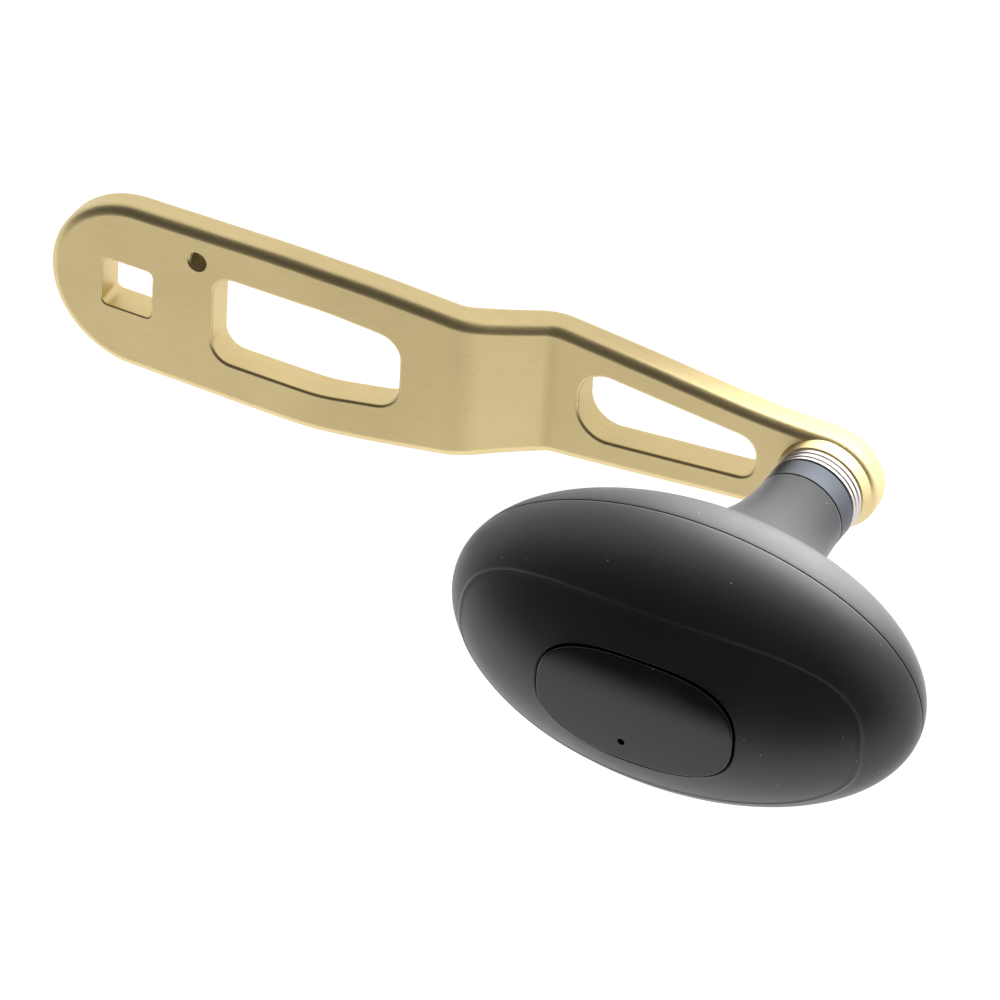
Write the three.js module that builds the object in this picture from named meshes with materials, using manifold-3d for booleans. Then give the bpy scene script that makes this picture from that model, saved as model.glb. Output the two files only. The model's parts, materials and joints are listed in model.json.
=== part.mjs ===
// Crank handle with a ball-bearing T-knob: an aluminium arm with a square drive socket, and a
// two-piece soft grip on a rigid core that spins on two ball bearings round a fixed steel axle.
// Millimetres, +Z up. The origin is the centre of the drive socket on the arm's front face.
// +X runs along the arm to the knob, +Z is the outboard side that the knob stands on.
import * as THREE from 'three';
import { mergeVertices } from 'three/addons/utils/BufferGeometryUtils.js';
import Module from 'manifold-3d';

const wasm = await Module();
wasm.setup();

// ---- driving dimensions -------------------------------------------------------------------
const ARM_THICKNESS = 4.6;
const KNOB_X = 97.8;             // drive socket to knob axle
const CRANK_DROP = 8.1;          // the knob end lies this far behind the hub end
const SOCKET_SIZE = 7.4;         // square drive socket across its flats
const TAPPED_HOLE = { x: 10.2, y: 8.0, radius: 1.3 };
const SEAT_HEIGHT = 1.25;        // turned seat on the arm under the thrust washers
const AXLE_RADIUS = 2.95;        // journal for the 6 mm bearings
const COLLAR_RADIUS = 6.15;
const GRIP_CENTRE_Z = 31.15;     // middle height of the oval grip
const GRIP_HALF = { x: 32.4, y: 19.1, z: 16.7 };
const PARTING_Z = 30.2;          // where the two grip halves meet
const RUBBER = 3.0;              // grip wall
const CAP_HALF = { x: 13.6, y: 7.8 };
const CAP_SINK = 0.8;            // the cap's crown lies this far inside the grip's oval
const CAP_UNDERSIDE = 43.9;
const GAP = 0.3;                 // room left round a piece that is cut to its neighbour
const FIT = 0.05;                // room between turned pieces that sit on each other

const FRONT = -CRANK_DROP;       // front face of the arm at the knob end
const BACK = FRONT - ARM_THICKNESS;
const RING_SIDES = 28;
const GRIP_SIDES = 40;
const ABOVE = 5;                 // cutting tools reach past the plate by this much in front
const BELOW = -20;               // and down to here behind it
const AIR = 52;                  // cutting tools for the cap opening reach up to here

// ---- materials ----------------------------------------------------------------------------
const material = (color, roughness, metalness) =>
  new THREE.MeshStandardMaterial({ color, roughness, metalness });
const FINISH = {
  anodised: [0xc3b184, 0.34, 0.9],
  steel: [0xc9c6c2, 0.22, 1.0],
  darkMetal: [0x4b4d51, 0.38, 0.85],
  bearing: [0xb4b6ba, 0.18, 1.0],
  brass: [0xb08d4a, 0.35, 1.0],
  nylon: [0x1c1d1f, 0.55, 0.0],
  rubber: [0x1b1c1e, 0.62, 0.0],
  gloss: [0x101114, 0.12, 0.0],
  seal: [0x0b0b0c, 0.7, 0.0],
};

const handle = new THREE.Group();
handle.name = 'crank_handle';
function addPiece(name, geometry, finish) {
  const mesh = new THREE.Mesh(geometry, material(...FINISH[finish]));
  mesh.name = name;
  handle.add(mesh);
  return mesh;
}

// ---- solids and booleans ------------------------------------------------------------------
// A closed geometry with one vertex at each place, and its faces turned outwards.
function closed(geometry) {
  geometry.deleteAttribute('normal');
  geometry.deleteAttribute('uv');
  const welded = mergeVertices(geometry, 1e-4);
  const p = welded.attributes.position;
  const index = Array.from(welded.index.array);
  const a = new THREE.Vector3(), b = new THREE.Vector3(), c = new THREE.Vector3();
  const faces = [];
  let volume = 0;
  for (let i = 0; i < index.length; i += 3) {
    const [i0, i1, i2] = index.slice(i, i + 3);
    if (i0 === i1 || i1 === i2 || i2 === i0) continue;
    faces.push([i0, i1, i2]);
    volume += a.fromBufferAttribute(p, i0).dot(
      b.fromBufferAttribute(p, i1).cross(c.fromBufferAttribute(p, i2)));
  }
  welded.setIndex((volume < 0 ? faces.map(([x, y, z]) => [x, z, y]) : faces).flat());
  return welded;
}

function toSolid(geometry) {
  const g = closed(geometry);
  return new wasm.Manifold(new wasm.Mesh({
    numProp: 3,
    vertProperties: new Float32Array(g.attributes.position.array),
    triVerts: new Uint32Array(g.index.array),
  }));
}

function toGeometry(solid) {
  const mesh = solid.getMesh();
  const geometry = new THREE.BufferGeometry();
  geometry.setAttribute('position', new THREE.BufferAttribute(new Float32Array(mesh.vertProperties), 3));
  geometry.setIndex(Array.from(mesh.triVerts));
  return geometry;
}

// An outline in the plan, carried from z0 up to z1.
function prism(shape, z0, z1, curveSegments = 8) {
  const geometry = new THREE.ExtrudeGeometry(shape,
    { depth: z1 - z0, bevelEnabled: false, curveSegments });
  return geometry.translate(0, 0, z0);
}

// A turned piece on the knob axle: profile points are [radius, z].
function turned(profile, sides = RING_SIDES) {
  const points = profile.map(([r, z]) => new THREE.Vector2(r, z));
  points.push(points[0].clone());
  const geometry = new THREE.LatheGeometry(points, sides).rotateX(Math.PI / 2);
  return geometry.translate(KNOB_X, 0, 0);
}

function ring(inner, outer, z0, z1, chamfer = 0) {
  return closed(turned([
    [inner, z0], [outer - chamfer, z0], [outer, z0 + chamfer],
    [outer, z1 - chamfer], [outer - chamfer, z1], [inner, z1],
  ].filter((q, i, all) => i === 0 || q[0] !== all[i - 1][0] || q[1] !== all[i - 1][1])));
}

// ---- rounded outlines ---------------------------------------------------------------------
// A path through corner points, each corner [x, y, radius, steps] rounded by an arc.
function roundedPath(corners, isClosed) {
  const points = [];
  const count = corners.length;
  corners.forEach(([x, y, radius = 0, steps = 6], i) => {
    const corner = new THREE.Vector2(x, y);
    if (radius === 0 || (!isClosed && (i === 0 || i === count - 1))) {
      points.push(corner);
      return;
    }
    const before = new THREE.Vector2(...corners[(i + count - 1) % count].slice(0, 2));
    const after = new THREE.Vector2(...corners[(i + 1) % count].slice(0, 2));
    const u = before.sub(corner).normalize();
    const v = after.sub(corner).normalize();
    const half = Math.acos(u.dot(v)) / 2;
    const reach = radius / Math.tan(half);
    const centre = corner.clone().add(u.clone().add(v).normalize().multiplyScalar(radius / Math.sin(half)));
    const start = corner.clone().addScaledVector(u, reach).sub(centre);
    const turn = Math.PI - 2 * half;
    const side = Math.sign(u.cross(v)) || 1;
    for (let k = 0; k <= steps; k++) {
      const swept = start.clone().rotateAround(new THREE.Vector2(), -side * turn * k / steps);
      points.push(swept.add(centre));
    }
  });
  return points;
}

function mirrored(corners) {
  return [...corners, ...corners.map(([x, ...rest]) => [x, -rest[0], ...rest.slice(1)]).reverse()];
}

// ---- crank arm ----------------------------------------------------------------------------
const HUB_RADIUS = 12.75;
const HUB_CENTRE_X = 1.0;
const TIP_RADIUS = 7.2;
const EDGE_POINTS = [
  [HUB_CENTRE_X, HUB_RADIUS], [12, 12.95], [25, 13.1], [34, 12.6], [44, 11.5], [52, 10.55],
  [60, 10.1], [72, 8.95], [84, 7.7], [91, 7.25], [KNOB_X, TIP_RADIUS],
];

function armOutline() {
  const edge = new THREE.SplineCurve(EDGE_POINTS.map(([x, y]) => new THREE.Vector2(x, y)));
  const upper = edge.getPoints(36);
  const tip = new THREE.EllipseCurve(KNOB_X, 0, TIP_RADIUS, TIP_RADIUS,
    Math.PI / 2, -Math.PI / 2, true);
  const hub = new THREE.EllipseCurve(HUB_CENTRE_X, 0, HUB_RADIUS, HUB_RADIUS,
    -Math.PI / 2, -3 * Math.PI / 2, true);
  const lower = upper.map((q) => new THREE.Vector2(q.x, -q.y)).reverse();
  return new THREE.Shape([...upper, ...tip.getPoints(18).slice(1, -1), ...lower,
    ...hub.getPoints(24).slice(1, -1)]);
}

// The arm seen from its side: the front line falls gently from the hub, then steeply to the
// knob end, and the back line runs parallel to it, one thickness behind.
const BEND_START_X = 28;
const CRANK_TOP = { x: 48.3, z: -1.75 };
const CRANK_FOOT_X = 58.2;
const BEND_RADII = [60, 9.5, 3.5];   // on the front line: gentle, convex, concave
const BAND_ENDS = [-20, 120];
function armSideBand() {
  const front = [[BAND_ENDS[0], 0], [BEND_START_X, 0], [CRANK_TOP.x, CRANK_TOP.z],
    [CRANK_FOOT_X, FRONT], [BAND_ENDS[1], FRONT]];
  const normals = front.slice(1).map((q, i) => {
    const run = new THREE.Vector2(q[0] - front[i][0], q[1] - front[i][1]).normalize();
    return new THREE.Vector2(run.y, -run.x);
  });
  const back = front.map((q, i) => {
    const n0 = normals[Math.max(i - 1, 0)];
    const n1 = normals[Math.min(i, normals.length - 1)];
    const bisector = n0.clone().add(n1).normalize();
    const reach = ARM_THICKNESS / bisector.dot(n0);
    return [q[0] + bisector.x * reach, q[1] + bisector.y * reach];
  });
  const [gentle, convex, concave] = BEND_RADII;
  const frontRadii = [0, gentle, convex, concave, 0];
  const backRadii = [0, gentle - ARM_THICKNESS, convex - ARM_THICKNESS, concave + ARM_THICKNESS, 0];
  const line = (points, radii) =>
    roundedPath(points.map((q, i) => [...q, radii[i], i === 1 ? 4 : 6]), false);
  return new THREE.Shape([...line(front, frontRadii), ...line(back, backRadii).reverse()]);
}

const SOCKET_CORNER_RADIUS = 0.9;
const socketCorners = [[-1, 1], [1, 1], [1, -1], [-1, -1]].map(([x, y]) =>
  [x * SOCKET_SIZE / 2, y * SOCKET_SIZE / 2, SOCKET_CORNER_RADIUS, 3]);
const hubWindow = mirrored([[12.7, 6.7, 3.0], [29, 6.75, 30, 3], [39.8, 5.3, 3.6]]);
const knobWindow = mirrored([[62.4, 5.5, 4.2], [88.0, 3.05, 2.7]]);
const SPIGOT_RADIUS = 3.6;
const SEAT = { foot: 6.9, top: 6.35, shoulder: 0.35 };

function buildArm() {
  const bandHalfWidth = 20;
  const band = prism(armSideBand(), -bandHalfWidth, bandHalfWidth).rotateX(Math.PI / 2);
  let arm = toSolid(prism(armOutline(), BELOW, ABOVE)).intersect(toSolid(band));
  const seat = [[0, FRONT - 1], [SEAT.foot, FRONT - 1], [SEAT.foot, FRONT + SEAT.shoulder],
    [SEAT.top, FRONT + SEAT_HEIGHT], [0, FRONT + SEAT_HEIGHT]];
  arm = arm.add(toSolid(turned(seat, 36)));
  for (const corners of [socketCorners, hubWindow, knobWindow]) {
    const window = new THREE.Shape(roundedPath(corners, true));
    arm = arm.subtract(toSolid(prism(window, BELOW, ABOVE)));
  }
  const tapped = new THREE.CylinderGeometry(TAPPED_HOLE.radius, TAPPED_HOLE.radius, 10, 16)
    .rotateX(Math.PI / 2).translate(TAPPED_HOLE.x, TAPPED_HOLE.y, 0);
  arm = arm.subtract(toSolid(tapped));
  const bore = SPIGOT_RADIUS + FIT;
  arm = arm.subtract(toSolid(turned([[0, BACK - 1], [bore, BACK - 1], [bore, 0], [0, 0]])));
  return toGeometry(arm);
}
addPiece('crank_arm', buildArm(), 'anodised');

// ---- axle and the pieces that stay with the arm -------------------------------------------
const SEAT_Z = FRONT + SEAT_HEIGHT;
const AXLE_END = 35.2;
const AXLE_CHAMFER = 0.3;
const SPIGOT_TOP = SEAT_Z - 0.6;
const SCREW_HOLE = { radius: 1.6, wallEnd: 21, tip: 20 };
addPiece('knob_axle', closed(turned([
  [0, BACK], [SPIGOT_RADIUS - AXLE_CHAMFER, BACK], [SPIGOT_RADIUS, BACK + AXLE_CHAMFER],
  [SPIGOT_RADIUS, SPIGOT_TOP], [AXLE_RADIUS, SPIGOT_TOP], [AXLE_RADIUS, AXLE_END - AXLE_CHAMFER],
  [AXLE_RADIUS - AXLE_CHAMFER, AXLE_END], [SCREW_HOLE.radius, AXLE_END],
  [SCREW_HOLE.radius, SCREW_HOLE.wallEnd], [0, SCREW_HOLE.tip],
])), 'steel');

const WASHER_RADIUS = 6.2;
const WASHER_CHAMFER = 0.12;
const WASHERS = [['thrust_washer_arm', 0.82], ['thrust_washer_middle', 0.85],
  ['thrust_washer_knob', 0.66]];
let stackZ = SEAT_Z + FIT;
for (const [name, thickness] of WASHERS) {
  const top = stackZ + thickness;
  addPiece(name, ring(AXLE_RADIUS + FIT, WASHER_RADIUS, stackZ, top, WASHER_CHAMFER), 'steel');
  stackZ += thickness + FIT;
}

// ---- ball bearings ------------------------------------------------------------------------
// Each has an inner ring on the axle, an outer ring in the knob, a crown cage and its balls.
// bore to od are radii, inner and outer those of the raceways, and ball is the ball's radius.
const BALL_COUNT = 8;
const CAGE = { side: 0.16, reach: 0.45, clear: 0.08 };      // reach and clear: below the balls
const SHIELD = { outerRoom: 0.04, low: 0.28, high: 0.04 };  // low and high: below the ring's face
const BEARINGS = [
  { name: 'neck_bearing', z0: -3.55, width: 2.6,
    bore: 3.0, inner: 3.5, outer: 4.5, od: 5.0, ball: 0.4 },
  { name: 'end_bearing', z0: 30.5, width: 4.6,
    bore: 3.0, inner: 3.8, outer: 5.7, od: 6.5, ball: 0.82 },
];
for (const { name, z0, width, bore, inner, outer, od, ball } of BEARINGS) {
  const top = z0 + width;
  const middle = z0 + width / 2;
  const ballFoot = middle - ball;
  const pitch = (inner + outer) / 2;
  const cage = ring(inner + CAGE.side, outer - CAGE.side, ballFoot - CAGE.reach, ballFoot - CAGE.clear);
  const shield = ring(inner + CAGE.side, outer - SHIELD.outerRoom, top - SHIELD.low, top - SHIELD.high);
  addPiece(`${name}_inner_race`, ring(bore, inner, z0, top), 'bearing');
  addPiece(`${name}_outer_race`, ring(outer, od, z0, top), 'bearing');
  addPiece(`${name}_cage`, cage, 'brass');
  addPiece(`${name}_shield`, shield, 'darkMetal');
  for (let k = 0; k < BALL_COUNT; k++) {
    const angle = 2 * Math.PI * (k + 0.5) / BALL_COUNT;
    const sphere = new THREE.SphereGeometry(ball, 10, 6).rotateX(Math.PI / 2);
    const piece = addPiece(`${name}_ball_${k + 1}`, closed(sphere), 'bearing');
    piece.position.set(KNOB_X + pitch * Math.cos(angle), pitch * Math.sin(angle), middle);
  }
}
const [NECK_BEARING, END_BEARING] = BEARINGS;
const neckBearingTop = NECK_BEARING.z0 + NECK_BEARING.width;
const endBearingTop = END_BEARING.z0 + END_BEARING.width;
const spacer = ring(AXLE_RADIUS + FIT, END_BEARING.inner, neckBearingTop + FIT, END_BEARING.z0 - FIT);
addPiece('bearing_spacer', spacer, 'darkMetal');
const END_WASHER = { bore: 1.6, radius: 4.4, lift: 0.15, thickness: 0.6 };
const endWasherZ = endBearingTop + END_WASHER.lift;
const endWasherTop = endWasherZ + END_WASHER.thickness;
addPiece('axle_end_washer',
  ring(END_WASHER.bore, END_WASHER.radius, endWasherZ, endWasherTop), 'steel');

const SCREW = { shank: 1.45, tip: 24.5, foot: 2.9, widest: 3.1, edge: 0.3, crown: 2.6, height: 1.8,
  recess: 1.25, recessFloor: 0.5 };
const headZ = endWasherTop + FIT;
const headTop = headZ + SCREW.height;
const hexagon = new THREE.Shape(Array.from({ length: 6 }, (_, k) =>
  new THREE.Vector2(Math.cos(k * Math.PI / 3), Math.sin(k * Math.PI / 3))
    .multiplyScalar(SCREW.recess)));
const screwBody = toSolid(turned([
  [0, SCREW.tip], [SCREW.shank, SCREW.tip], [SCREW.shank, headZ], [SCREW.foot, headZ],
  [SCREW.widest, headZ + SCREW.edge], [SCREW.crown, headTop], [0, headTop]]));
const driveRecess = toSolid(prism(hexagon, headZ + SCREW.recessFloor, headZ + 3)
  .translate(KNOB_X, 0, 0));
addPiece('axle_screw', toGeometry(screwBody.subtract(driveRecess)), 'steel');

// ---- neck collar and its seal -------------------------------------------------------------
const SEAL = { room: 0.25, radius: 5.55, top: 0.35 };
const COLLAR = { bore: 5.05, lip: 4.65, foot: -3.85, lipTop: -3.6, top: -1.05, chamfer: 0.2 };
addPiece('neck_seal',
  ring(AXLE_RADIUS + SEAL.room, SEAL.radius, stackZ + FIT, stackZ + SEAL.top), 'seal');
addPiece('neck_collar', closed(turned([
  [COLLAR.bore, COLLAR.lipTop], [COLLAR.lip, COLLAR.lipTop], [COLLAR.lip, COLLAR.foot],
  [COLLAR_RADIUS - COLLAR.chamfer, COLLAR.foot], [COLLAR_RADIUS, COLLAR.foot + COLLAR.chamfer],
  [COLLAR_RADIUS, COLLAR.top], [COLLAR.bore, COLLAR.top]])), 'darkMetal');

// ---- oval knob body -----------------------------------------------------------------------
// A meridian of the knob leaves the neck as a Bezier curve, meets the lower half of an oval
// on its tangent, and follows the oval upwards. inset moves the whole surface inwards.
const NECK_FLARE = { x: { join: 17, pull: 8.0 }, y: { join: 13, pull: 5.0 } };
const GRIP_START_Z = -0.8;
const SLEEVE_RADIUS = 5.65;      // inside of the rubber at the neck
function meridian(axis, inset, neckRadius, angles) {
  const half = GRIP_HALF[axis] - inset;
  const rise = GRIP_HALF.z - inset;
  const { join, pull } = NECK_FLARE[axis];
  const angle0 = Math.asin(join / GRIP_HALF[axis]);
  const onOval = (q) => new THREE.Vector2(half * Math.sin(q), GRIP_CENTRE_Z - rise * Math.cos(q));
  const tangent = new THREE.Vector2(half * Math.cos(angle0), rise * Math.sin(angle0)).normalize();
  const end = onOval(angle0);
  const flare = new THREE.CubicBezierCurve(new THREE.Vector2(neckRadius, GRIP_START_Z),
    new THREE.Vector2(neckRadius + 0.2, 8 + inset), end.clone().addScaledVector(tangent, -pull), end);
  const points = flare.getPoints(angles.flareSteps);
  for (let k = 1; k <= angles.steps; k++) {
    points.push(onOval(angle0 + (angles.last - angle0) * k / angles.steps));
  }
  return points;
}

// Closed rings round the axle between an X meridian and a Y meridian: at angle q the surface
// stands at (x cos q, y sin q), at a height that passes smoothly from one meridian to the other.
function ovalRings(alongX, alongY, sides = GRIP_SIDES) {
  const geometry = new THREE.LatheGeometry(alongX, sides).rotateX(Math.PI / 2);
  const p = geometry.attributes.position;
  for (let i = 0; i < p.count; i++) {
    const q = 2 * Math.PI * Math.floor(i / alongX.length) / sides;
    const [mx, my] = [alongX[i % alongX.length], alongY[i % alongX.length]];
    const [c, s] = [Math.cos(q), Math.sin(q)];
    p.setXYZ(i, KNOB_X + mx.x * c, my.x * s, mx.y * c * c + my.y * s * s);
  }
  return geometry;
}

const partingAngle = (z, inset) => Math.acos((GRIP_CENTRE_Z - z) / (GRIP_HALF.z - inset));
function rearMeridian(axis, inset, neckRadius, z, steps) {
  return meridian(axis, inset, neckRadius, { flareSteps: 7, steps, last: partingAngle(z, inset) });
}

// Rear half of the grip: a cup with the neck, open at the parting plane.
const rearWall = (axis) => {
  const outside = rearMeridian(axis, 0, COLLAR_RADIUS, PARTING_Z, 5);
  const inside = rearMeridian(axis, RUBBER, SLEEVE_RADIUS, PARTING_Z, 5);
  return [...outside, ...inside.reverse(), outside[0].clone()];
};
addPiece('grip_rear', closed(ovalRings(rearWall('x'), rearWall('y'))), 'rubber');

// Front half: the upper shell, with an opening for the cap.
const stadium = (halfX, halfY) => {
  const shape = new THREE.Shape();
  shape.absarc(KNOB_X + halfX - halfY, 0, halfY, -Math.PI / 2, Math.PI / 2, false);
  shape.absarc(KNOB_X - halfX + halfY, 0, halfY, Math.PI / 2, 3 * Math.PI / 2, false);
  return shape;
};
function ovalTop(axis, inset, z0, steps) {
  const start = partingAngle(z0, inset);
  return Array.from({ length: steps + 1 }, (_, k) => {
    const q = start + (Math.PI - start) * k / steps;
    const radius = k === steps ? 0 : (GRIP_HALF[axis] - inset) * Math.sin(q);
    return new THREE.Vector2(radius, GRIP_CENTRE_Z - (GRIP_HALF.z - inset) * Math.cos(q));
  });
}
const FRONT_Z = PARTING_Z + 0.12;  // the halves stand a hair apart at the seam
const frontWall = (axis) => {
  const outside = ovalTop(axis, 0, FRONT_Z, 9);
  return [...outside, ...ovalTop(axis, RUBBER, FRONT_Z, 9).reverse(), outside[0].clone()];
};
const openingOutline = stadium(CAP_HALF.x + GAP, CAP_HALF.y + GAP);
const capOpening = prism(openingOutline, 38, AIR, 8);
addPiece('grip_front', toGeometry(toSolid(ovalRings(frontWall('x'), frontWall('y')))
  .subtract(toSolid(capOpening))), 'rubber');

// Rigid core: fills the two grip halves, with a stepped bore for the axle and the bearings.
const coreInset = RUBBER + GAP;
const CORE_NECK_RADIUS = SLEEVE_RADIUS - GAP;
const coreWall = (axis) => [
  new THREE.Vector2(0, GRIP_START_Z),
  ...meridian(axis, coreInset, CORE_NECK_RADIUS,
    { flareSteps: 6, steps: 10, last: Math.PI * 0.999 }),
  new THREE.Vector2(0, GRIP_CENTRE_Z + GRIP_HALF.z - coreInset),
];
const seatRadius = END_BEARING.od + FIT;
const CORE_TOP = 43.0;
const CORE_BORE = 4.3;
const CLIP_GROOVE = { depth: 0.55, low: endBearingTop + 0.1, high: endBearingTop + 0.9 };
const pocketFloor = END_BEARING.z0 - 0.1;
const grooveRadius = seatRadius + CLIP_GROOVE.depth;
const boreProfile = [[0, -5], [CORE_BORE, -5], [CORE_BORE, pocketFloor], [seatRadius, pocketFloor],
  [seatRadius, CLIP_GROOVE.low], [grooveRadius, CLIP_GROOVE.low], [grooveRadius, CLIP_GROOVE.high],
  [seatRadius, CLIP_GROOVE.high], [seatRadius, 50], [0, 50]];
const core = toSolid(ovalRings(coreWall('x'), coreWall('y'), 32))
  .subtract(toSolid(turned(boreProfile)))
  .subtract(toSolid(prism(openingOutline, CORE_TOP, AIR, 8)));
addPiece('grip_core', toGeometry(core), 'nylon');

// Circlip that holds the end bearing in the core: an open spring ring.
const CLIP = { outer: seatRadius + 0.4, inner: 5.9, halfGap: 0.35, room: 0.1 };
const clip = new THREE.Shape();
clip.absarc(KNOB_X, 0, CLIP.outer, CLIP.halfGap, 2 * Math.PI - CLIP.halfGap, false);
clip.absarc(KNOB_X, 0, CLIP.inner, 2 * Math.PI - CLIP.halfGap, CLIP.halfGap, true);
addPiece('bearing_circlip',
  closed(prism(clip, CLIP_GROOVE.low + CLIP.room, CLIP_GROOVE.high - CLIP.room, 24)), 'darkMetal');

// ---- end cap ------------------------------------------------------------------------------
// A domed oval button with a snap skirt, and the flat gasket that it clamps.
const GASKET = { outside: 0.4, inside: 2.0, top: 0.85 };  // outside and inside: in from the cap's edge
const inFromCap = (margin) => stadium(CAP_HALF.x - margin, CAP_HALF.y - margin);
const gasket = inFromCap(GASKET.outside);
gasket.holes.push(new THREE.Path(inFromCap(GASKET.inside).getPoints(8)));
addPiece('cap_gasket', closed(prism(gasket, CORE_TOP + FIT, CORE_TOP + GASKET.top, 8)), 'seal');

const BLANK_Z = 37.9;            // the dome is made whole from here up, then cut to the outline
const dome = (axis) => [new THREE.Vector2(0, BLANK_Z), ...ovalTop(axis, CAP_SINK, BLANK_Z, 14)];
const capBlank = toSolid(ovalRings(dome('x'), dome('y')));
const PIN = { x: KNOB_X - 1.3, y: -5.0, radius: 0.5 };
const pinHole = new THREE.CylinderGeometry(PIN.radius, PIN.radius, 10, 10)
  .rotateX(Math.PI / 2).translate(PIN.x, PIN.y, 46);
const cap = capBlank
  .intersect(toSolid(prism(stadium(CAP_HALF.x, CAP_HALF.y), CAP_UNDERSIDE, AIR, 10)))
  .subtract(toSolid(pinHole));
addPiece('end_cap', toGeometry(cap), 'gloss');

export default handle;
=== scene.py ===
import json
import math

import bmesh
import bpy
import numpy as np
from mathutils import Matrix, Vector, geometry


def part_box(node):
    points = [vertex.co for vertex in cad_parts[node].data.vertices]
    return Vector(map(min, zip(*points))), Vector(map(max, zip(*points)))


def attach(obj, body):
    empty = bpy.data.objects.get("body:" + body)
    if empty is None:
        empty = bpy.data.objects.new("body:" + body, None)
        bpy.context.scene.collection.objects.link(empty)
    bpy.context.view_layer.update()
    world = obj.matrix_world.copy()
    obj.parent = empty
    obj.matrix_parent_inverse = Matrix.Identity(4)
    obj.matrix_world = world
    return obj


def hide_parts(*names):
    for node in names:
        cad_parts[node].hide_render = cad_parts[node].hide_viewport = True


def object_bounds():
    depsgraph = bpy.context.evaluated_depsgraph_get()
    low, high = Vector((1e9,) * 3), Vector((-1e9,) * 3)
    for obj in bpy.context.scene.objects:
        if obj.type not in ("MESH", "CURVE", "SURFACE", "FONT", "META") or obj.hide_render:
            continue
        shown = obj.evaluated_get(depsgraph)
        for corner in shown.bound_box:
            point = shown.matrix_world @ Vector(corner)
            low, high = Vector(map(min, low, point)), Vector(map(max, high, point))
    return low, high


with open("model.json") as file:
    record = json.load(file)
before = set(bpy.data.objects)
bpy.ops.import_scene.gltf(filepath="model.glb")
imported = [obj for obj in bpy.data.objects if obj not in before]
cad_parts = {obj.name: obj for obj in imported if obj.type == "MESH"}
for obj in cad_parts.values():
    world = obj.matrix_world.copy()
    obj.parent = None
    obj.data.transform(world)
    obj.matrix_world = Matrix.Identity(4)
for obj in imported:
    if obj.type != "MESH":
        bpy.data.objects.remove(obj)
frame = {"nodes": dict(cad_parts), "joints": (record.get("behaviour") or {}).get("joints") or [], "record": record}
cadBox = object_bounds()
print("frame loaded:", len(frame["nodes"]), "nodes")

mm = 0.001
mounts = {mount["name"]: mount for mount in frame["record"]["mounts"]}
knobX = frame["joints"][0]["pos_m"][0] / mm  # socket to axle
plateThickness = (mounts["nut_seat"]["pos_m"][2] - mounts["spindle_shoulder_seat"]["pos_m"][2]) / mm
crankDrop = -mounts["rest_face"]["pos_m"][2] / mm - plateThickness
weldDistance, sliverLength = 2e-6, 1e-7  # metres: nearer points are one point, shorter edges are dropped


# Lowest and highest z of a CAD node, in mm.
def nodeHeights(node):
    low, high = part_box(node)
    return low.z / mm, high.z / mm


# Quads of a rows x columns grid whose last column joins the first: each quad takes a point, the one after it
# round the row, and the two above them. Numbers count up from start.
def gridQuads(rows, columns, start):
    row, column = np.meshgrid(np.arange(rows - 1), np.arange(columns), indexing="ij")
    following = (column + 1) % columns
    quads = [row * columns + column, row * columns + following,
             (row + 1) * columns + following, (row + 1) * columns + column]
    return np.stack(quads, -1).reshape(-1, 4) + start


# One object from grids (rows, columns, 3) closed around, and triangle sheets (points, triangles), in mm.
# Where normals are given, one for each point in the same order, they replace Blender's own averages.
def makePiece(name, material, grids=(), sheets=(), sharpAngle=50, normals=None):
    points, faces, count = [], [], 0
    for grid in grids:
        points.append(grid.reshape(-1, 3))
        faces += gridQuads(grid.shape[0], grid.shape[1], count).tolist()
        count += points[-1].shape[0]
    for sheetPoints, triangles in sheets:
        points.append(sheetPoints)
        faces += (triangles + count).tolist()
        count += len(sheetPoints)
    mesh = bpy.data.meshes.new(name)
    mesh.from_pydata((np.concatenate(points) * mm).tolist(), [], faces)
    if normals is not None:
        kept = mesh.attributes.new("surfaceNormal", "FLOAT_VECTOR", "POINT")
        kept.data.foreach_set("vector", normals.ravel())
    work = bmesh.new()
    work.from_mesh(mesh)
    bmesh.ops.remove_doubles(work, verts=work.verts, dist=weldDistance)
    bmesh.ops.dissolve_degenerate(work, edges=work.edges, dist=sliverLength)
    bmesh.ops.recalc_face_normals(work, faces=work.faces)
    work.to_mesh(mesh)
    work.free()
    mesh.shade_smooth()
    mesh.materials.append(material)
    piece = bpy.data.objects.new(name, mesh)
    bpy.context.scene.collection.objects.link(piece)
    if normals is None:
        mesh.set_sharp_from_angle(angle=math.radians(sharpAngle))
        piece.modifiers.new("even shading", "WEIGHTED_NORMAL").keep_sharp = True
    else:
        perVertex = np.empty(len(mesh.vertices) * 3)
        mesh.attributes["surfaceNormal"].data.foreach_get("vector", perVertex)
        mesh.attributes.remove(mesh.attributes["surfaceNormal"])
        mesh.normals_split_custom_set_from_vertices(perVertex.reshape(-1, 3).tolist())
    return piece


# What a piece stands for, whose nodes are hidden, and the body it moves with. The slot its finish comes from is
# not used.
def settle(piece, body, slot, *nodes):
    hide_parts(*nodes)
    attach(piece, body)


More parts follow.
